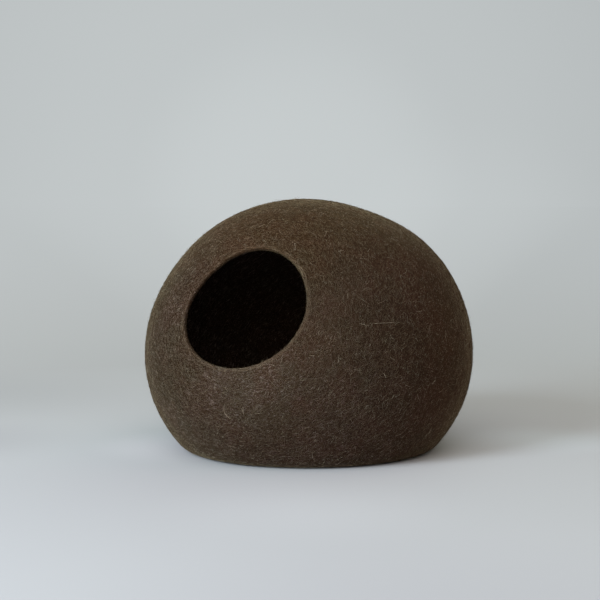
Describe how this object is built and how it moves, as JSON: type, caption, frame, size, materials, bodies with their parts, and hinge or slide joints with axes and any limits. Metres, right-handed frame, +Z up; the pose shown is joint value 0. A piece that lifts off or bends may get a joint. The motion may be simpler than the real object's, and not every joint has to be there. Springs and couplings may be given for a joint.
{
  "type": "felt cat cave",
  "caption": "Domed pet bed of thick seamless wool felt, with a flat base, a hollow cabin and one round mouth high on its front.",
  "frame": {"origin": "centre of the flat base, on the surface that the cave stands on", "axes": "+Z up, the mouth faces -Y and upwards, +X to the right of someone looking along +Y into the mouth"},
  "size_m": [0.447, 0.4525, 0.341],
  "materials": {
    "felt": "dense dark brown wool felt, matt and slightly hairy"
  },
  "bodies": {
    "root": {"felt_shell": "felt"}
  },
  "joints": []
}
